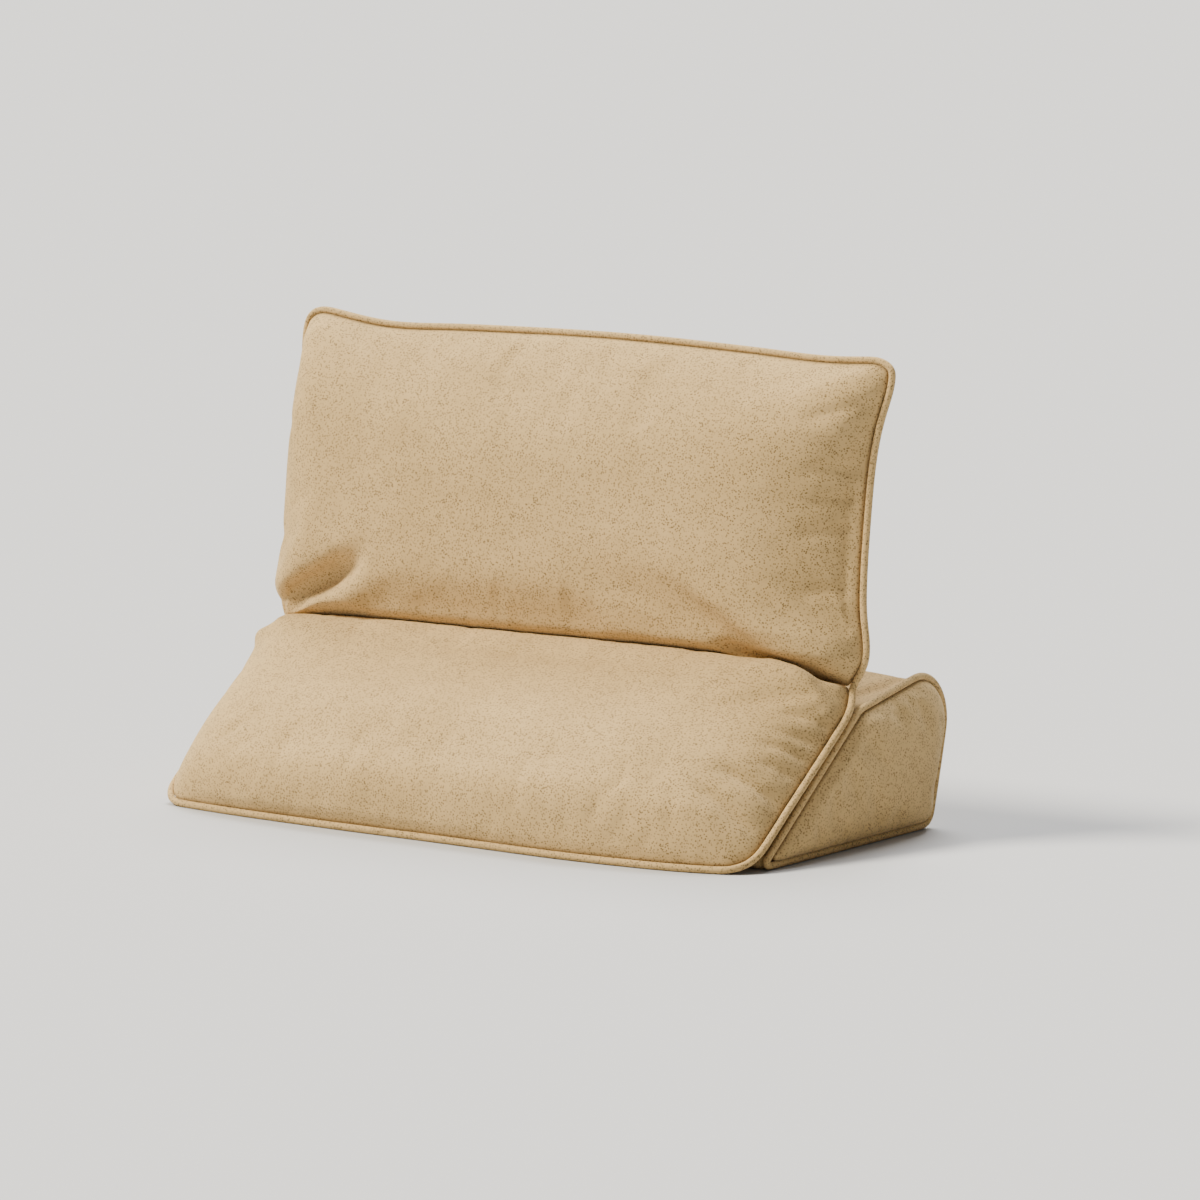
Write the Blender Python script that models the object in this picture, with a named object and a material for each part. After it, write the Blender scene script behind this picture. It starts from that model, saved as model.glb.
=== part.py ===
"""Back cushion: a foam wedge with a long filled pad that lies on its slope and folds up at a sewn channel.

Metres, +Z up. X runs across the cushion, the front faces -Y, and the origin is under the middle of the box
that holds the whole cushion, on the surface it stands on.
"""

import math

import bmesh
import bpy
import numpy as np
from mathutils import Matrix, Vector

# Driving sizes

PIPING_RADIUS = 0.0035
TOUCH_GAP = 0.0004  # left between two pieces that touch
PIPING_OFFSET = 0.0008  # from the pad's edge to its piping
PIPING_STEP = 0.0045  # shortest run between two points of the pad's piping
SEAM_LIP = 0.0028  # half the pad's thickness where its two faces are sewn together

# Wedge, seen from its end: four straight edges in the Y-Z plane

TOE_Y = -0.1455  # where the slope would meet the floor
SLOPE_ANGLE = math.radians(37.2)
TOP_POINT = (0.0645, 0.137)
TOP_ANGLE = math.radians(10.5)
REAR_POINT = (0.1855, 0.1015)
REAR_ANGLE = math.radians(74.9)
TOE_ROUND = 0.008
RIDGE_ROUND = 0.030
TOP_REAR_ROUND = 0.050
FLOOR_REAR_ROUND = 0.020
WEDGE_HALF_WIDTH = 0.3425
EDGE_STEP = 0.024  # longest straight run between two outline points
PANEL_RIM = 0.0030
PANEL_SWELL = 0.0150
PANEL_RINGS = (1.0, 0.97, 0.91, 0.80, 0.55)  # shares of the panel's outline, from its rim inwards

# Pad: two lobes that meet at the sewn channel

CREASE_Y = 0.0445
CREASE_Z = 0.150
LEAN = math.radians(8.4)  # of the upper lobe, back from upright
UPPER_LENGTH = 0.3114
FRONT_EDGE_Z = 0.0061
PAD_TO_SLOPE = 0.0005
NECK_LIP = 0.0040  # half the pad's thickness at the channel
SLIT_HALF_GAP = 0.0006  # half the space between the lobes at the channel
SLIT_OPENING = math.radians(0.8)  # by which each lobe leans away from the slit's middle

COLUMNS = 36
LOWER_ROWS = 12
UPPER_ROWS = 16

# Crown of each face above the seam, and the run over which it rises from a side seam, from the outer edge
# and from the channel. A root of 2 leaves the seam square; a smaller one leaves it at a slant.

LOBES = {
    "lower": {"crown": 0.048, "outer_run": 0.090, "outer_root": 1.2, "channel_soft": 0.006, "corner": 0.023},
    "upper": {"crown": 0.060, "outer_run": 0.125, "outer_root": 1.6, "channel_soft": 0.022, "corner": 0.026},
}
BACK_CROWN = 0.040
BACK_RUN = 0.070
BACK_BELLY = 0.006  # how far the back of the upper lobe sinks onto the wedge
CROWN_DOME = 0.10  # share of the crown kept for the middle of a lobe

# Outline of the pad, as smooth curves through short tables. "across" runs from -1 at the left seam to 1 at the
# right, and "along" from 0 at the channel to 1 at the lobe's outer edge.

# across, place in Y of the front edge on the floor
FRONT_EDGE = [
    (-1.00, -0.1490),
    (-0.80, -0.1590),
    (-0.42, -0.1690),
    (0.00, -0.1740),
    (0.60, -0.1795),
    (0.82, -0.1715),
    (1.00, -0.1535),
]
# across, rise of the top edge above its mean line
TOP_EDGE = [
    (-1.00, 0.0110),
    (-0.70, -0.0030),
    (-0.45, -0.0010),
    (0.20, 0.0000),
    (0.55, -0.0045),
    (0.80, -0.0080),
    (1.00, -0.0040),
]
# along, distance from the middle to the side seam
UPPER_RIGHT = [(0.00, 0.325), (0.07, 0.339), (0.22, 0.332), (0.50, 0.328), (0.80, 0.332), (1.00, 0.349)]
UPPER_LEFT = [(0.00, 0.327), (0.07, 0.341), (0.30, 0.341), (0.60, 0.342), (0.85, 0.342), (1.00, 0.347)]
LOWER_RIGHT = [(0.00, 0.325), (0.10, 0.339), (0.30, 0.342), (0.70, 0.342), (1.00, 0.343)]
LOWER_LEFT = [(0.00, 0.327), (0.10, 0.345), (0.30, 0.343), (0.70, 0.342), (1.00, 0.344)]

# along, run of the front over which it rises from the side seam: the right side slopes more softly than the left
SIDE_RUNS = {
    ("upper", "right"): [(0.00, 0.100), (0.45, 0.125), (0.80, 0.085), (1.00, 0.060)],
    ("upper", "left"): [(0.00, 0.048), (0.50, 0.048), (1.00, 0.048)],
    ("lower", "right"): [(0.00, 0.080), (0.50, 0.085), (1.00, 0.085)],
    ("lower", "left"): [(0.00, 0.055), (0.50, 0.060), (1.00, 0.066)],
}

# Main folds pressed into the front: lobe, from (x, distance from the channel), to, half width, depth
FOLDS = [
    ("upper", (-0.330, 0.016), (-0.225, 0.066), 0.013, 0.013),
    ("upper", (0.195, 0.037), (0.250, 0.028), 0.013, 0.013),
    ("upper", (0.078, 0.074), (0.185, 0.047), 0.022, 0.006),
    ("lower", (0.265, 0.012), (0.335, 0.030), 0.011, 0.006),
    ("lower", (0.298, 0.058), (0.338, 0.085), 0.011, 0.005),
    ("lower", (0.300, 0.150), (0.338, 0.165), 0.012, 0.005),
    ("lower", (0.290, 0.200), (0.330, 0.218), 0.012, 0.004),
]

CLOTH_COLOUR = (0.60, 0.46, 0.30, 1.0)
PIPING_COLOUR = (0.57, 0.43, 0.28, 1.0)


def clear_scene():
    for obj in list(bpy.data.objects):
        bpy.data.objects.remove(obj)


def cloth_material(name, colour):
    material = bpy.data.materials.new(name)
    material.use_nodes = True
    shader = material.node_tree.nodes["Principled BSDF"]
    shader.inputs["Base Color"].default_value = colour
    shader.inputs["Roughness"].default_value = 0.9
    shader.inputs["Metallic"].default_value = 0.0
    material.diffuse_color = colour
    return material


def add_object(name, data, material):
    obj = bpy.data.objects.new(name, data)
    obj.data.materials.append(material)
    bpy.context.scene.collection.objects.link(obj)
    return obj


def mesh_object(name, bm, material):
    bmesh.ops.recalc_face_normals(bm, faces=bm.faces)
    mesh = bpy.data.meshes.new(name)
    bm.to_mesh(mesh)
    bm.free()
    mesh.shade_smooth()
    mesh.set_sharp_from_angle(angle=math.radians(50))
    return add_object(name, mesh, material)


# Curves through tables


def along_table(table, place):
    """The smooth curve through a table's (place, value) rows."""
    places = np.array([row[0] for row in table])
    values = np.array([row[1] for row in table])
    slopes = np.gradient(values, places)
    left = int(np.clip(np.searchsorted(places, place) - 1, 0, len(table) - 2))
    span = places[left + 1] - places[left]
    s = (place - places[left]) / span
    return float(
        values[left] * (1 + 2 * s) * (1 - s) ** 2
        + slopes[left] * span * s * (1 - s) ** 2
        + values[left + 1] * s * s * (3 - 2 * s)
        + slopes[left + 1] * span * s * s * (s - 1)
    )


def swell(distance, run, root):
    """Rises from 0 at a seam to 1 at the run's end; root 2 is a quarter ellipse, root 1 a softer slant."""
    left = 1 - min(max(distance / run, 0.0), 1.0)
    return (1 - left * left) ** (1 / root)


def soft_min(a, b, softness):
    """The smaller of two lengths, with the corner between them rounded."""
    blend = max(softness - abs(a - b), 0.0) / softness
    return min(a, b) - blend * blend * softness / 4


# Wedge


def shifted_line(point, angle, inset):
    """A straight edge moved inwards; the inside lies to the right of the edge's direction."""
    along = Vector((math.cos(angle), math.sin(angle)))
    inwards = Vector((along.y, -along.x))
    return Vector(point) + inwards * inset, along


def crossing(first, second):
    (p, d), (q, e) = first, second
    reach = (q - p).cross(e) / d.cross(e)
    return p + d * reach


def wedge_outline(floor=0.0, slope=0.0, top=0.0, rear=0.0):
    """The wedge's end outline, from the toe over the top and back along the floor, with each edge moved inwards."""
    edges = [
        shifted_line((TOE_Y, 0.0), math.pi, floor),
        shifted_line((TOE_Y, 0.0), SLOPE_ANGLE, slope),
        shifted_line(TOP_POINT, TOP_ANGLE, top),
        shifted_line(REAR_POINT, REAR_ANGLE + math.pi, rear),
    ]
    inset = max(floor, slope, top, rear)
    rounds = [TOE_ROUND, RIDGE_ROUND, TOP_REAR_ROUND, FLOOR_REAR_ROUND]
    corners = [crossing(edges[i], edges[(i + 1) % 4]) for i in range(4)]
    points = []
    for i, corner in enumerate(corners):
        before = (corners[i - 1] - corner).normalized()
        after = (corners[(i + 1) % 4] - corner).normalized()
        radius = max(rounds[i] - inset, 0.003)
        half = before.angle(after) / 2
        centre = corner + (before + after).normalized() * radius / math.sin(half)
        start = corner + before * radius / math.tan(half) - centre
        turn = math.pi - 2 * half
        steps = max(4, round(turn * radius / 0.008))
        for k in range(steps + 1):
            angle = -turn * k / steps
            points.append(centre + Matrix.Rotation(angle, 2) @ start)
    return split_long_runs(points)


def split_long_runs(points):
    """Adds evenly spaced points on the straight runs of a closed outline."""
    finer = []
    for a, b in zip(points, points[1:] + points[:1]):
        pieces = max(1, math.ceil((b - a).length / EDGE_STEP))
        finer += [a.lerp(b, k / pieces) for k in range(pieces)]
    return finer


def build_wedge_body(material):
    """The foam wedge in its wrap-around cover, flat where the pad lies on it and where it stands."""
    outline = wedge_outline()
    bm = bmesh.new()
    start = [bm.verts.new((-WEDGE_HALF_WIDTH, p.x, p.y)) for p in outline]
    face = bm.faces.new(start)
    extruded = bmesh.ops.extrude_face_region(bm, geom=[face])["geom"]
    end = [item for item in extruded if isinstance(item, bmesh.types.BMVert)]
    bmesh.ops.translate(bm, verts=end, vec=(2 * WEDGE_HALF_WIDTH, 0, 0))
    return mesh_object("wedge_body", bm, material)


def build_end_panel(name, side, material):
    """The swollen end panel that is sewn to the wrap inside the ring of piping."""
    against_slope = 2 * PIPING_RADIUS + TOUCH_GAP
    against_piping = PIPING_RADIUS + TOUCH_GAP
    outline = wedge_outline(against_slope, against_slope, against_piping, against_piping)
    middle = sum(outline, Vector((0, 0))) / len(outline)
    inner_x = WEDGE_HALF_WIDTH + TOUCH_GAP
    bm = bmesh.new()
    back = [bm.verts.new((side * inner_x, p.x, p.y)) for p in outline]
    bm.faces.new(back)
    ring = back
    for share in PANEL_RINGS:
        x = inner_x + PANEL_RIM + PANEL_SWELL * math.sqrt(1 - share**6)
        inner = []
        for p in outline:
            q = middle.lerp(p, share)
            inner.append(bm.verts.new((side * x, q.x, q.y)))
        for i in range(len(ring)):
            j = (i + 1) % len(ring)
            bm.faces.new((ring[i], ring[j], inner[j], inner[i]))
        ring = inner
    peak = bm.verts.new((side * (inner_x + PANEL_RIM + PANEL_SWELL), middle.x, middle.y))
    for i in range(len(ring)):
        bm.faces.new((ring[i], ring[(i + 1) % len(ring)], peak))
    return mesh_object(name, bm, material)


def build_piping(name, path, material):
    """A closed ring of covered cord along a path."""
    curve = bpy.data.curves.new(name, "CURVE")
    curve.dimensions = "3D"
    curve.bevel_depth = PIPING_RADIUS
    curve.bevel_resolution = 2
    spline = curve.splines.new("POLY")
    spline.points.add(len(path) - 1)
    for point, place in zip(spline.points, path):
        point.co = (*place, 1.0)
    spline.use_cyclic_u = True
    return add_object(name, curve, material)


def build_wedge_piping(name, side, material):
    """Runs flush under the pad and above the floor, and stands proud along the top and the rear."""
    outline = wedge_outline(floor=PIPING_RADIUS + TOUCH_GAP, slope=PIPING_RADIUS)
    x = side * (WEDGE_HALF_WIDTH + TOUCH_GAP + PIPING_RADIUS)
    return build_piping(name, [Vector((x, p.x, p.y)) for p in outline], material)


# Pad


def lobe_place(u, v):
    """Where a grid point lies on its lobe: (lobe, across, along, x, distance from the channel, lobe length)."""
    lobe = "upper" if v > 0 else "lower"
    across = math.sin(u * math.pi / 2)
    along = (1 - math.cos(abs(v) * math.pi)) / 2
    if lobe == "upper":
        length = UPPER_LENGTH + along_table(TOP_EDGE, across)
        half_width = along_table(UPPER_RIGHT if across > 0 else UPPER_LEFT, along)
    else:
        front_y = along_table(FRONT_EDGE, across)
        length = math.hypot(CREASE_Y - front_y, CREASE_Z - FRONT_EDGE_Z)
        half_width = along_table(LOWER_RIGHT if across > 0 else LOWER_LEFT, along)
    return lobe, across, along, across * half_width, along * length, length, half_width


def round_corner(x, distance, length, half_width, radius):
    """Pulls the square outer corners of a lobe in to a quarter circle."""
    past_x = (abs(x) - (half_width - radius)) / radius
    past_d = (distance - (length - radius)) / radius
    if past_x <= 0 or past_d <= 0:
        return x, distance
    shrink = max(past_x, past_d) / math.hypot(past_x, past_d)
    x = math.copysign(half_width - radius + radius * past_x * shrink, x)
    return x, length - radius + radius * past_d * shrink


def lobe_frame(lobe, across):
    """The lobe's direction away from the channel and its front normal, in the Y-Z plane."""
    if lobe == "upper":
        away = Vector((0, math.sin(LEAN), math.cos(LEAN)))
        return away, Vector((0, -away.z, away.y))
    front_y = along_table(FRONT_EDGE, across)
    away = Vector((0, front_y - CREASE_Y, FRONT_EDGE_Z - CREASE_Z)).normalized()
    return away, Vector((0, away.z, -away.y))


def fold_depth(lobe, x, distance):
    """How deep the main folds press the front in at a place on a lobe."""
    depth = 0.0
    for on, start, end, half_width, deepest in FOLDS:
        if on != lobe:
            continue
        a, b, p = Vector(start), Vector(end), Vector((x, distance))
        share = min(max((p - a).dot(b - a) / (b - a).length_squared, 0.0), 1.0)
        off = (p - a.lerp(b, share)).length / half_width
        depth += deepest * math.exp(-off * off) * math.sin(math.pi * (0.15 + 0.7 * share))
    return depth


def dome(across, along):
    return 1 - CROWN_DOME + CROWN_DOME * (1 - across**2) * (1 - (2 * along - 1) ** 2)


def channel_wall(distance, across):
    """The height at which a lobe's face meets its side of the slit between the lobes."""
    half = lobe_frame("upper", across)[0].angle(lobe_frame("lower", across)[0]) / 2 - SLIT_OPENING
    return (distance * math.sin(half) - SLIT_HALF_GAP) / math.cos(half)


def front_height(lobe, across, along, x, distance, length, half_width):
    shape = LOBES[lobe]
    run = along_table(SIDE_RUNS[lobe, "right" if across > 0 else "left"], along)
    side = swell((1 - abs(across)) * half_width, run, 2)
    outer = swell(length * (1 - along), shape["outer_run"], shape["outer_root"])
    crown = shape["crown"] * dome(across, along) - fold_depth(lobe, x, distance)
    crown = SEAM_LIP + max(crown, 0.0) * side * outer
    wall = channel_wall(distance, across)
    return soft_min(wall, crown, min(shape["channel_soft"], wall, crown))


def support_z(y):
    """The surface under the lower lobe: the wedge's slope, then the floor in front of its toe."""
    return max((y - TOE_Y) * math.tan(SLOPE_ANGLE) + PAD_TO_SLOPE / math.cos(SLOPE_ANGLE), 0.0)


def pad_point(u, v, face):
    """The grid point (u, v) on the pad's front or back face; v 0 is the channel, -1 the front edge, 1 the top."""
    lobe, across, along, x, distance, length, half_width = lobe_place(u, v)
    away, normal = lobe_frame(lobe, across)
    channel = Vector((0, CREASE_Y, CREASE_Z))
    if v == 0:
        middle = (lobe_frame("upper", across)[1] + lobe_frame("lower", across)[1]).normalized()
        edge = channel + middle * (NECK_LIP if face == "front" else -NECK_LIP)
        return Vector((x, edge.y, edge.z))
    x, distance = round_corner(x, distance, length, half_width, LOBES[lobe]["corner"])
    seam = channel + away * distance
    seam.x = x
    if face == "front":
        return seam + normal * front_height(lobe, across, along, x, distance, length, half_width)
    if lobe == "upper":
        side = swell((1 - abs(across)) * half_width, BACK_RUN, 2)
        outer = swell(length * (1 - along), BACK_RUN, 1.6)
        inner = swell(distance, BACK_RUN, 2)
        place = seam - normal * (SEAM_LIP + BACK_CROWN * side * outer * inner)
        place.z -= BACK_BELLY * side * math.exp(-((distance / 0.035) ** 2))
        return place
    lip = seam - normal * SEAM_LIP
    rest = Vector((x, seam.y, support_z(seam.y)))
    inside = min((1 - abs(across)) * half_width, length * (1 - along), distance) / 0.020
    return lip.lerp(rest, min(inside, 1.0))


def pad_rows():
    """The v value of every row of the pad's grid, from the front edge to the top."""
    lower = [-1 + k / LOWER_ROWS for k in range(LOWER_ROWS)]
    return lower + [k / UPPER_ROWS for k in range(UPPER_ROWS + 1)]


def pad_columns():
    return [-1 + 2 * k / COLUMNS for k in range(COLUMNS + 1)]


def build_pad(material):
    """One filled cover: two grids, front and back, joined round their edge by the narrow seam."""
    bm = bmesh.new()
    grids = {
        face: [[bm.verts.new(pad_point(u, v, face)) for u in pad_columns()] for v in pad_rows()]
        for face in ("front", "back")
    }
    for rows in grids.values():
        for low, high in zip(rows, rows[1:]):
            for k in range(COLUMNS):
                bm.faces.new((low[k], low[k + 1], high[k + 1], high[k]))
    front, back = ([rows[i][k] for i, k in edge_loop()] for rows in grids.values())
    for i in range(len(front)):
        j = (i + 1) % len(front)
        bm.faces.new((front[i], front[j], back[j], back[i]))
    return mesh_object("pad", bm, material)


def edge_loop():
    """Row and column of each grid point on the pad's edge, once round."""
    rows = LOWER_ROWS + UPPER_ROWS
    right = [(i, COLUMNS) for i in range(rows)]
    top = [(rows, k) for k in range(COLUMNS, 0, -1)]
    left = [(i, 0) for i in range(rows, 0, -1)]
    front = [(0, k) for k in range(COLUMNS)]
    return right + top + left + front


def build_pad_piping(material):
    """The cord sewn into the seam all round the pad, just outside its edge."""
    rows, columns = pad_rows(), pad_columns()
    places = [(columns[k], rows[i]) for i, k in edge_loop()]
    fronts = [pad_point(u, v, "front") for u, v in places]
    backs = [pad_point(u, v, "back") for u, v in places]
    seam = [(f + b) / 2 for f, b in zip(fronts, backs)]
    path = []
    for i, place in enumerate(seam):
        run = seam[(i + 1) % len(seam)] - seam[i - 1]
        outwards = run.cross(fronts[i] - backs[i]).normalized()
        point = place + outwards * (PIPING_RADIUS + PIPING_OFFSET)
        if not path or min((point - path[-1]).length, (point - path[0]).length) > PIPING_STEP:
            path.append(point)
    return build_piping("pad_piping", path, material)


def main():
    clear_scene()
    cloth = cloth_material("suede_cloth", CLOTH_COLOUR)
    covered_cord = cloth_material("covered_cord", PIPING_COLOUR)
    build_wedge_body(cloth)
    build_pad(cloth)
    build_pad_piping(covered_cord)
    for word, side in (("left", -1), ("right", 1)):
        build_end_panel(f"wedge_end_{word}", side, cloth)
        build_wedge_piping(f"wedge_piping_{word}", side, covered_cord)


main()
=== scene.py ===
"""Dresses the back cushion: suede covers, puckered seams, piping, a pale floor, soft light and a camera."""

import math

import bpy
import numpy as np
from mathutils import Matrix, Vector
from mathutils.bvhtree import BVHTree


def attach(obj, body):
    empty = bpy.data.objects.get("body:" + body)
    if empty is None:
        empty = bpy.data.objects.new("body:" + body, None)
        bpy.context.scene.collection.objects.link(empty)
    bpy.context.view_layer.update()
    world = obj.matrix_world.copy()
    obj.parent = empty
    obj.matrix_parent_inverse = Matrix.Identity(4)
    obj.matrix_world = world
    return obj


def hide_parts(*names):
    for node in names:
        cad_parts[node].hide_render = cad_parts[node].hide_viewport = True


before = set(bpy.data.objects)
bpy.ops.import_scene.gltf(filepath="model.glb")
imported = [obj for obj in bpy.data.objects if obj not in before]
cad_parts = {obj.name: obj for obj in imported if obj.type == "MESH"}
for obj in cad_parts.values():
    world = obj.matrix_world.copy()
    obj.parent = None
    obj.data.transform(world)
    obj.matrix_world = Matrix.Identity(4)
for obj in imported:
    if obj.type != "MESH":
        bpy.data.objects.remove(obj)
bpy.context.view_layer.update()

# Sizes, in metres, in the same frame as the solids

CHANNEL = Vector((0.0, 0.0445, 0.150))  # the sewn line between the two lobes
SLIT_ANGLE = math.radians(148.8)  # of the slit between the lobes, in the Y-Z plane
SLIT_NORMAL = Vector((0.0, math.sin(SLIT_ANGLE), -math.cos(SLIT_ANGLE)))  # points into the upper lobe
CONTACT_ANGLE = math.radians(141.8)  # of the face where the lobes press on each other
CONTACT_NORMAL = Vector((0.0, math.sin(CONTACT_ANGLE), -math.cos(CONTACT_ANGLE)))
SLOPE_ANGLE = math.radians(37.2)  # of the wedge's front, from the floor
TOE_Y = -0.1455  # where that slope meets the floor
LEAN = math.radians(8.4)  # of the upper lobe, from upright
UPPER_AWAY = Vector((0.0, math.sin(LEAN), math.cos(LEAN)))  # up the upper lobe, from the channel
LOWER_AWAY = Vector((0.0, -math.cos(SLOPE_ANGLE), -math.sin(SLOPE_ANGLE)))  # down the lower lobe

PAD_VOXEL = 0.0050
WEDGE_VOXEL = 0.006
HELD_REACH = 0.006  # how far from the piping the cloth is held still while it is blown up
SEAM_REACH = 0.014  # how far from the piping the cloth is drawn in to it
SEAM_TUCK = 0.0012  # how deep the cloth's edge goes into the piping
PIPING_GAP = 0.0035  # the most that the cloth's edge is moved to reach the piping
PIPING_ROUNDING = 0.0003  # what subdivision takes off the piping's radius, put back
LOBE_CLEARANCE = 0.0003
WEDGE_CLEARANCE = 0.0005
FLOOR_CLEARANCE = 0.0001

SLIT_HOLD = 0.010  # how far from the channel the cloth is held still
BASE_HOLD = 0.006  # how high above the floor the wedge's cloth is held still
FOLD_FADE = 0.010  # beside the piping, folds fade over this width

SWELL_STEPS = 20
PAD_PRESSURE = 4.0
PAD_SLACK = 0.003
PAD_CAP = 0.010
WEDGE_PRESSURE = 3.0
WEDGE_SLACK = 0.02
WRAP_CAP = 0.004
END_PANEL_CAP = 0.005

# The suede's grain: how many clouds, flecks and hairs there are to a metre
CLOUDS = 9.0
MOTTLE = 60.0
FLECKS = 430.0
FLECK_PATCHES = 110.0
NAP = 620.0
NAP_HEIGHT = 0.0006
# Painted shade beside the seams: the cloth's colour is darkened from the piping out to the end distance
SEAM_SHADE_START, SEAM_SHADE_END = 0.0003, 0.0028  # from the piping

FLOOR_SIZE = 70
CAMERA_PLACE = (3.645, -5.1705, 1.092)
CAMERA_TURN = math.radians(34.65)
CAMERA_TILT = math.radians(7.92)  # downwards
CAMERA_LENS = 198

# Folds and gathers of the pad's front. Each runs from one place to another on a lobe, given as
# (x, distance from the channel); a positive depth is pressed in and a negative one stands out.
# lobe, start, end, half width, depth
FOLDS = [
    # the lobes press on each other along the channel
    ("lower", (-0.310, 0.020), (0.250, 0.020), 0.024, -0.011),
    ("lower", (0.250, 0.020), (0.318, 0.032), 0.014, -0.005),
    ("upper", (-0.265, 0.014), (0.310, 0.014), 0.020, -0.007),
    # the deep fold at the left end of the channel, with a roll of cloth under it
    ("upper", (-0.338, 0.020), (-0.222, 0.073), 0.011, 0.013),
    ("upper", (-0.330, 0.004), (-0.215, 0.044), 0.014, -0.009),
    # the pinch near the channel's right end, the hollow that leads up from it, and the roll under that
    ("upper", (0.205, 0.030), (0.262, 0.016), 0.006, 0.009),
    ("upper", (0.060, 0.086), (0.185, 0.056), 0.024, 0.0045),
    ("upper", (0.080, 0.038), (0.200, 0.030), 0.014, -0.004),
    # the lower lobe dips at the right end of the channel and stands out at the left end
    ("lower", (0.300, 0.004), (0.338, 0.036), 0.010, 0.005),
    ("lower", (-0.343, 0.034), (-0.332, 0.042), 0.008, -0.006),
    # the soft right side falls away, and the lower lobe rolls under towards its bottom seam
    ("upper", (0.312, 0.045), (0.312, 0.235), 0.068, 0.010),
    ("lower", (-0.240, 0.172), (0.240, 0.172), 0.065, -0.015),
    ("lower", (-0.300, 0.226), (0.290, 0.226), 0.028, -0.014),
    # gathers along the right seams
    ("upper", (0.332, 0.268), (0.279, 0.250), 0.0067, 0.0035),
    ("upper", (0.330, 0.205), (0.286, 0.200), 0.0060, 0.0030),
    ("upper", (0.330, 0.178), (0.294, 0.170), 0.0054, 0.0030),
    ("upper", (0.330, 0.148), (0.286, 0.140), 0.0060, 0.0030),
    ("upper", (0.332, 0.092), (0.292, 0.086), 0.0060, 0.0030),
    ("lower", (0.346, 0.062), (0.307, 0.078), 0.0054, 0.0039),
    ("lower", (0.346, 0.086), (0.314, 0.102), 0.0054, 0.0035),
    ("lower", (0.346, 0.108), (0.310, 0.122), 0.0054, 0.0039),
    ("lower", (0.346, 0.132), (0.318, 0.142), 0.0054, 0.0030),
    ("lower", (0.346, 0.170), (0.292, 0.168), 0.0067, 0.0044),
    ("lower", (0.340, 0.212), (0.284, 0.196), 0.0060, 0.0039),
    ("lower", (0.270, 0.236), (0.262, 0.206), 0.0054, 0.0018),
    ("lower", (0.225, 0.246), (0.222, 0.218), 0.0054, 0.0018),
    ("lower", (0.190, 0.246), (0.190, 0.214), 0.0054, 0.0016),
]


# Selecting and editing, as by hand


def select_only(*pieces):
    bpy.ops.object.select_all(action="DESELECT")
    for piece in pieces:
        piece.select_set(True)
    bpy.context.view_layer.objects.active = pieces[0]


def copy_of_node(node, name):
    """A merged copy of a solid's mesh, as a new piece at the origin."""
    piece = bpy.data.objects.new(name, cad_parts[node].data.copy())
    bpy.context.scene.collection.objects.link(piece)
    piece.data.materials.clear()
    if "custom_normal" in piece.data.attributes:
        piece.data.attributes.remove(piece.data.attributes["custom_normal"])
    select_only(piece)
    bpy.ops.object.mode_set(mode="EDIT")
    bpy.ops.mesh.select_all(action="SELECT")
    bpy.ops.mesh.remove_doubles(threshold=0.00001)
    bpy.ops.mesh.normals_make_consistent(inside=False)
    bpy.ops.object.mode_set(mode="OBJECT")
    return piece


def remesh(piece, size):
    select_only(piece)
    piece.data.remesh_voxel_size = size
    piece.data.use_remesh_fix_poles = True
    bpy.ops.object.voxel_remesh()


def apply_modifier(piece, kind, name, **settings):
    modifier = piece.modifiers.new(name, kind)
    for key, value in settings.items():
        setattr(modifier, key, value)
    select_only(piece)
    bpy.ops.object.modifier_apply(modifier=name)


def places(piece):
    co = np.empty(len(piece.data.vertices) * 3)
    piece.data.vertices.foreach_get("co", co)
    return co.reshape(-1, 3)


def put(piece, co):
    piece.data.vertices.foreach_set("co", np.ascontiguousarray(co).ravel())
    piece.data.update()


def facings(piece):
    normals = np.empty(len(piece.data.vertices) * 3)
    piece.data.vertex_normals.foreach_get("vector", normals)
    return normals.reshape(-1, 3)


def node_surface(*nodes):
    verts, faces = [], []
    for node in nodes:
        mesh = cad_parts[node].data
        start = len(verts)
        verts += [v.co.copy() for v in mesh.vertices]
        faces += [[start + i for i in p.vertices] for p in mesh.polygons]
    return BVHTree.FromPolygons(verts, faces)


def nearest(surface, co):
    """For every place, the closest point of a surface and how far off it is."""
    hits = [surface.find_nearest(Vector(p)) for p in co]
    points = np.array([hit[0] for hit in hits])
    return points, np.array([hit[3] for hit in hits])


# Padded covers


def swell_cloth(piece, held, pressure, slack, cap):
    """Blows a cover up as cloth with the held vertices still; no vertex moves further than the cap."""
    before = places(piece)
    group = piece.vertex_groups.new(name="held")
    for i in np.nonzero(held > 0)[0]:
        group.add([int(i)], float(held[i]), "REPLACE")
    modifier = piece.modifiers.new("swell", "CLOTH")
    cloth = modifier.settings
    cloth.quality = 5
    cloth.mass = 0.3
    cloth.tension_stiffness = 25
    cloth.compression_stiffness = 25
    cloth.shear_stiffness = 8
    cloth.bending_stiffness = 4
    cloth.air_damping = 3
    cloth.use_pressure = True
    cloth.uniform_pressure_force = pressure
    cloth.shrink_min = -slack
    cloth.vertex_group_mass = "held"
    cloth.effector_weights.gravity = 0
    modifier.collision_settings.use_collision = False
    modifier.collision_settings.use_self_collision = False
    modifier.point_cache.frame_start = 1
    modifier.point_cache.frame_end = SWELL_STEPS
    for step in range(1, SWELL_STEPS + 1):
        bpy.context.scene.frame_set(step)
    select_only(piece)
    bpy.ops.object.modifier_apply(modifier="swell")
    bpy.context.scene.frame_set(1)
    piece.vertex_groups.clear()
    move = places(piece) - before
    length = np.linalg.norm(move, axis=1, keepdims=True)
    put(piece, before + move * (np.tanh(length / cap) * cap / np.maximum(length, 1e-9)))


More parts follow.
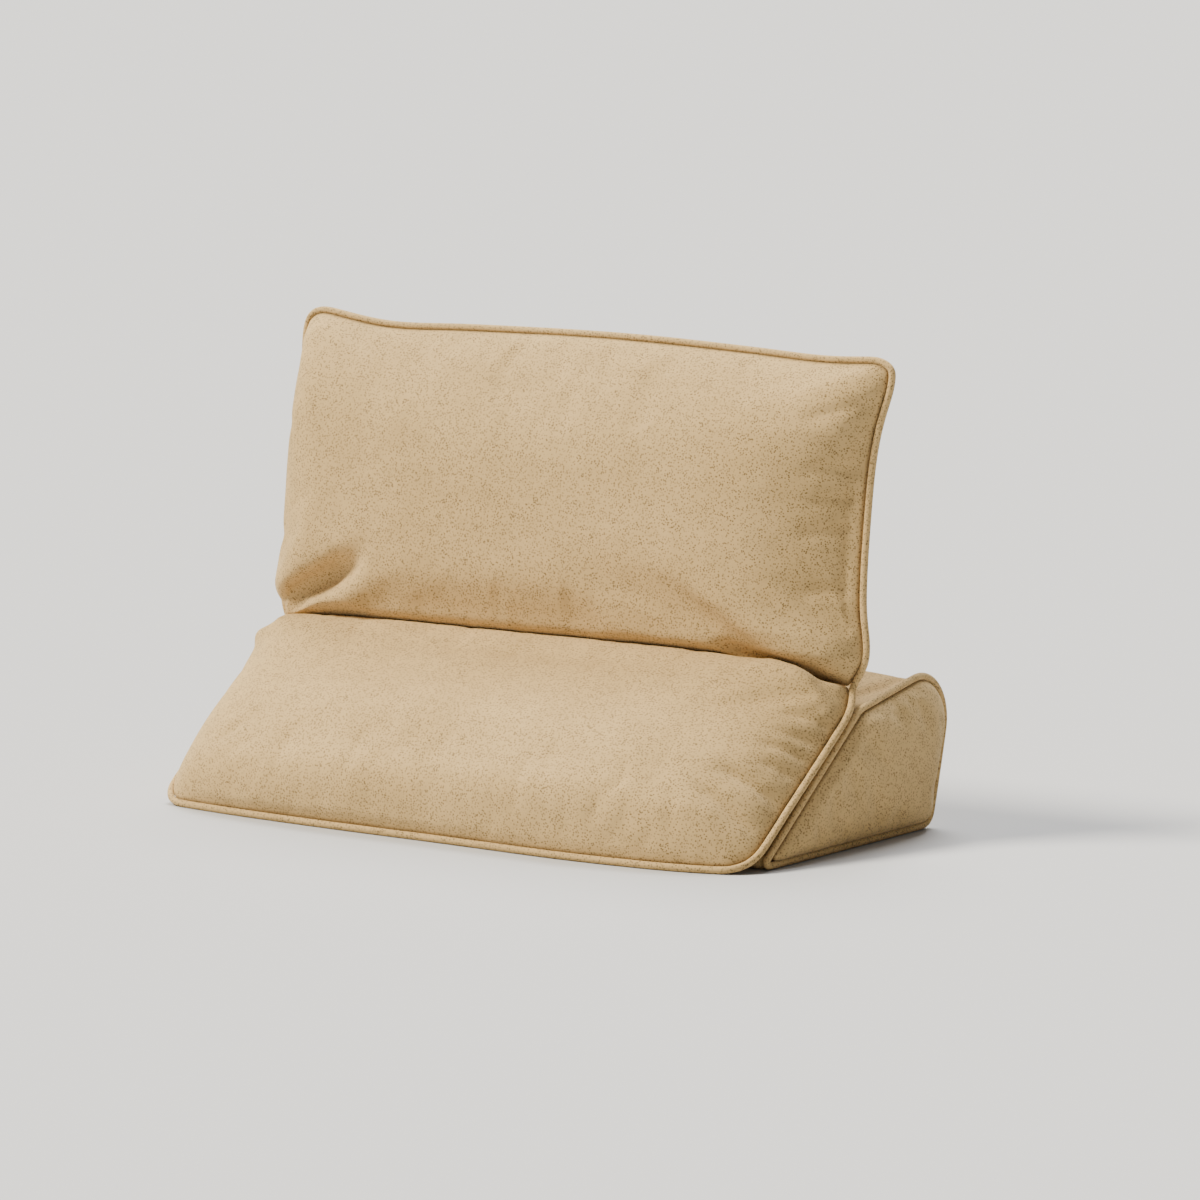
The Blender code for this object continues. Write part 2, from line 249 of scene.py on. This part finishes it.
def draw_to_piping(piece, surface):
    """Draws the cover's edge in to its piping, which hides it."""
    co = places(piece)
    points, off = nearest(surface, co)
    towards = (points - co) / np.maximum(off, 1e-6)[:, None]
    share = np.clip(1 - off / SEAM_REACH, 0, 1) ** 3
    reach = np.minimum(off + SEAM_TUCK, PIPING_GAP + SEAM_TUCK)
    co = co + towards * (share * reach)[:, None]
    put(piece, co)


def mark_seam(piece, surface):
    """Stores on each vertex how far it is from the piping, for the painted shade that darkens the cloth
    beside the seam.
    """
    _, off = nearest(surface, places(piece))
    attribute = piece.data.attributes.new("seam_distance", "FLOAT", "POINT")
    attribute.data.foreach_set("value", off)


def press_folds(piece, lobe, away, front, surface):
    """Presses in and lifts the folds of a lobe's front; beside the seam they fade."""
    co, normals = places(piece), facings(piece)
    _, off_seam = nearest(surface, co)
    d = (co - np.array(CHANNEL)) @ np.array(away)
    flat = np.stack([co[:, 0], d], 1)
    facing = np.clip(normals @ np.array(front) * 2 + 0.6, 0, 1)
    move = np.zeros(len(co))
    for on, start, end, half_width, depth in FOLDS:
        if on != lobe:
            continue
        a, b = np.array(start), np.array(end)
        run = b - a
        share = np.clip((flat - a) @ run / (run @ run), 0, 1)
        off = np.linalg.norm(flat - (a + share[:, None] * run), axis=1) / half_width
        move += depth * np.exp(-off * off) * (1 - 0.6 * np.abs(2 * share - 1) ** 4) * facing
    move *= np.clip(off_seam / FOLD_FADE, 0.25, 1)
    put(piece, co - normals * move[:, None])


def keep_clear(piece, lobe):
    """Keeps a lobe on its own side of the slit, and above the wedge and the floor."""
    co = places(piece)
    side = (co - np.array(CHANNEL)) @ np.array(CONTACT_NORMAL)
    sign = 1 if lobe == "upper" else -1
    depth = np.maximum(LOBE_CLEARANCE - sign * side, 0)
    co = co + np.array(CONTACT_NORMAL) * (sign * depth)[:, None]
    if lobe == "lower":
        slope = (co[:, 1] - TOE_Y) * math.tan(SLOPE_ANGLE) + WEDGE_CLEARANCE
        under = (co[:, 2] < slope) & (co[:, 1] > TOE_Y)
        co[under, 2] = slope[under]
        co[:, 2] = np.maximum(co[:, 2], FLOOR_CLEARANCE)
    put(piece, co)


def make_lobe(lobe):
    """One filled lobe of the pad, cut off at the slit, blown up, folded and drawn in to its piping."""
    piece = copy_of_node("pad", f"pad_{lobe}")
    away = UPPER_AWAY if lobe == "upper" else LOWER_AWAY
    front = Vector((0, -away.z, away.y)) if lobe == "upper" else Vector((0, away.z, -away.y))
    bpy.ops.object.mode_set(mode="EDIT")
    bpy.ops.mesh.select_all(action="SELECT")
    normal = SLIT_NORMAL if lobe == "upper" else -SLIT_NORMAL
    bpy.ops.mesh.bisect(plane_co=CHANNEL, plane_no=normal, use_fill=True, clear_inner=True)
    bpy.ops.object.mode_set(mode="OBJECT")
    remesh(piece, PAD_VOXEL)
    apply_modifier(piece, "SMOOTH", "settle", factor=0.5, iterations=4)
    surface = node_surface("pad_piping")
    co = places(piece)
    _, off = nearest(surface, co)
    d = (co - np.array(CHANNEL)) @ np.array(away)
    held = np.clip(1.6 - off / HELD_REACH, 0, 1)
    held = np.maximum(held, np.clip(1.5 - d / SLIT_HOLD, 0, 1))
    if lobe == "lower":
        height = (co - np.array(CHANNEL)) @ np.array(front)
        held = np.maximum(held, np.clip(1.0 - (height + 0.004) / SLIT_HOLD, 0, 1))
    swell_cloth(piece, held, PAD_PRESSURE, PAD_SLACK, PAD_CAP)
    press_folds(piece, lobe, away, front, surface)
    keep_clear(piece, lobe)
    draw_to_piping(piece, surface)
    apply_modifier(piece, "SUBSURF", "round", levels=1, render_levels=1)
    mark_seam(piece, surface)
    return piece


def make_pad(material):
    """The pad's cover: both lobes as one piece."""
    upper, lower = make_lobe("upper"), make_lobe("lower")
    select_only(upper, lower)
    bpy.ops.object.join()
    upper.name = "pad_cover"
    finish(upper, material, "pad")


def make_wedge_cover(node, name, material, cap):
    """The wedge's wrap or an end panel; the wrap stays under the slope that the pad lies on."""
    piece = copy_of_node(node, name)
    remesh(piece, WEDGE_VOXEL)
    apply_modifier(piece, "SMOOTH", "settle", factor=0.5, iterations=3)
    surface = node_surface("wedge_piping_left", "wedge_piping_right")
    co = places(piece)
    _, off = nearest(surface, co)
    held = np.clip(1.6 - off / HELD_REACH, 0, 1)
    held = np.maximum(held, np.clip(1.5 - co[:, 2] / BASE_HOLD, 0, 1))
    swell_cloth(piece, held, WEDGE_PRESSURE, WEDGE_SLACK, cap)
    co = places(piece)
    if node == "wedge_body":
        slope = (co[:, 1] - TOE_Y) * math.tan(SLOPE_ANGLE)
        co[:, 2] = np.minimum(co[:, 2], np.maximum(slope, 0.006))
    co[:, 2] = np.maximum(co[:, 2], 0.0)
    put(piece, co)
    draw_to_piping(piece, surface)
    apply_modifier(piece, "SUBSURF", "round", levels=1, render_levels=1)
    mark_seam(piece, surface)
    finish(piece, material, node)


def make_piping(node, name, material):
    """The covered cord: the solid's tube made round."""
    piece = copy_of_node(node, name)
    bpy.ops.object.mode_set(mode="EDIT")
    bpy.ops.mesh.select_all(action="SELECT")
    bpy.ops.mesh.tris_convert_to_quads(face_threshold=math.radians(60), shape_threshold=math.radians(60))
    bpy.ops.object.mode_set(mode="OBJECT")
    apply_modifier(piece, "SUBSURF", "round", levels=2, render_levels=2)
    co, normals = places(piece), facings(piece)
    put(piece, co + normals * PIPING_ROUNDING)
    finish(piece, material, node)


def finish(piece, material, node):
    piece.data.materials.clear()
    piece.data.materials.append(material)
    select_only(piece)
    bpy.ops.object.shade_smooth()
    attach(piece, "root")
    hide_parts(node)


# Cloth


def suede(name, light, dark, speck, painted_seam_shade=None):
    """Short-napped suede cloth: cloudy where the nap lies both ways, finely speckled, with painted shade
    darkening it beside the seams.
    """
    material = bpy.data.materials.new(name)
    material.use_nodes = True
    nodes, links = material.node_tree.nodes, material.node_tree.links
    shader = nodes["Principled BSDF"]
    shader.inputs["Roughness"].default_value = 0.92
    shader.inputs["Specular IOR Level"].default_value = 0.25
    shader.inputs["Sheen Weight"].default_value = 0.25
    shader.inputs["Sheen Roughness"].default_value = 0.5
    shader.inputs["Sheen Tint"].default_value = (1.0, 0.80, 0.50, 1.0)
    where = nodes.new("ShaderNodeTexCoord").outputs["Object"]

    def grain(scale, detail, roughness=0.5):
        texture = nodes.new("ShaderNodeTexNoise")
        texture.inputs["Scale"].default_value = scale
        texture.inputs["Detail"].default_value = detail
        texture.inputs["Roughness"].default_value = roughness
        links.new(where, texture.inputs["Vector"])
        return texture.outputs["Fac"]

    def ramp(value, low, high, low_colour, high_colour):
        stops = nodes.new("ShaderNodeValToRGB")
        stops.color_ramp.elements[0].position = low
        stops.color_ramp.elements[1].position = high
        stops.color_ramp.elements[0].color = low_colour
        stops.color_ramp.elements[1].color = high_colour
        links.new(value, stops.inputs["Fac"])
        return stops.outputs["Color"]

    def times(a, b):
        mix = nodes.new("ShaderNodeMix")
        mix.data_type = "RGBA"
        mix.blend_type = "MULTIPLY"
        mix.inputs["Factor"].default_value = 1.0
        links.new(a, mix.inputs["A"])
        links.new(b, mix.inputs["B"])
        return mix.outputs["Result"]

    clouds = ramp(grain(CLOUDS, 4, 0.6), 0.38, 0.62, dark, light)
    fine = ramp(grain(MOTTLE, 3), 0.35, 0.65, (0.93, 0.93, 0.92, 1), (1.0, 1.0, 1.0, 1))
    cells = nodes.new("ShaderNodeTexVoronoi")
    cells.inputs["Scale"].default_value = FLECKS
    links.new(where, cells.inputs["Vector"])
    dots = ramp(cells.outputs["Distance"], 0.22, 0.46, speck, (1, 1, 1, 1))
    patches = ramp(grain(FLECK_PATCHES, 3), 0.38, 0.68, (0, 0, 0, 1), (0.55, 0.55, 0.55, 1))
    worn = nodes.new("ShaderNodeMix")
    worn.data_type = "RGBA"
    worn.inputs["B"].default_value = (1, 1, 1, 1)
    links.new(patches, worn.inputs["Factor"])
    links.new(dots, worn.inputs["A"])
    specks = worn.outputs["Result"]
    colour = times(times(clouds, fine), specks)
    # painted shade: the colour is darkened close to the piping, where the seam's recess is shaded
    if painted_seam_shade:
        seam = nodes.new("ShaderNodeAttribute")
        seam.attribute_name = "seam_distance"
        shade = ramp(seam.outputs["Fac"], SEAM_SHADE_START, SEAM_SHADE_END, painted_seam_shade, (1, 1, 1, 1))
        colour = times(colour, shade)
    links.new(colour, shader.inputs["Base Color"])
    nap = nodes.new("ShaderNodeBump")
    nap.inputs["Strength"].default_value = 0.45
    nap.inputs["Distance"].default_value = NAP_HEIGHT
    links.new(grain(NAP, 2, 0.6), nap.inputs["Height"])
    links.new(nap.outputs["Normal"], shader.inputs["Normal"])
    return material


# Setting


def lay_floor():
    bpy.ops.mesh.primitive_plane_add(size=FLOOR_SIZE, location=(0, 0, 0))
    floor = bpy.context.object
    floor.name = "floor"
    material = bpy.data.materials.new("pale_floor")
    material.use_nodes = True
    shader = material.node_tree.nodes["Principled BSDF"]
    shader.inputs["Base Color"].default_value = (0.50, 0.50, 0.50, 1)
    shader.inputs["Roughness"].default_value = 0.9
    floor.data.materials.append(material)


def hang_light(name, at, spread, strength, tint):
    """A soft far-off light that falls on the middle of the floor from the place given."""
    bpy.ops.object.light_add(type="SUN", location=at)
    light = bpy.context.object
    light.name = name
    light.data.angle = spread
    light.data.energy = strength
    light.data.color = tint
    light.rotation_euler = (-Vector(at)).to_track_quat("-Z", "Y").to_euler()


def place_camera():
    bpy.ops.object.camera_add(location=CAMERA_PLACE)
    camera = bpy.context.object
    camera.name = "camera"
    level = math.cos(CAMERA_TILT)
    view = Vector((-math.sin(CAMERA_TURN) * level, math.cos(CAMERA_TURN) * level, -math.sin(CAMERA_TILT)))
    camera.rotation_euler = view.to_track_quat("-Z", "Y").to_euler()
    camera.data.sensor_width = 36
    camera.data.lens = CAMERA_LENS
    camera.data.clip_end = 60
    bpy.context.scene.camera = camera


def light_room():
    world = bpy.data.worlds.new("room")
    bpy.context.scene.world = world
    world.use_nodes = True
    sky = world.node_tree.nodes["Background"]
    sky.inputs["Color"].default_value = (1, 1, 1, 1)
    sky.inputs["Strength"].default_value = 0.22
    hang_light("key", (-2.3, -1.9, 3.5), 0.30, 6.9, (1.0, 0.94, 0.82))
    hang_light("top", (-0.9, 1.9, 3.4), 0.60, 5.0, (1.0, 1.0, 1.0))


SUEDE_LIGHT = (0.585, 0.396, 0.170, 1)
SUEDE_DARK = (0.530, 0.356, 0.149, 1)
SPECK = (0.30, 0.29, 0.27, 1)
# the darkest colour of the painted shade beside the seams
SEAM_SHADE = (0.40, 0.385, 0.36, 1)

cover = suede("suede_cover", SUEDE_LIGHT, SUEDE_DARK, SPECK, SEAM_SHADE)
cord_cover = suede("suede_cord", SUEDE_LIGHT, SUEDE_DARK, SPECK)
place_camera()
lay_floor()
light_room()
make_pad(cover)
make_piping("pad_piping", "pad_cord", cord_cover)
make_wedge_cover("wedge_body", "wedge_wrap", cover, WRAP_CAP)
for word in ("left", "right"):
    make_wedge_cover(f"wedge_end_{word}", f"end_panel_{word}", cover, END_PANEL_CAP)
    make_piping(f"wedge_piping_{word}", f"wedge_cord_{word}", cord_cover)
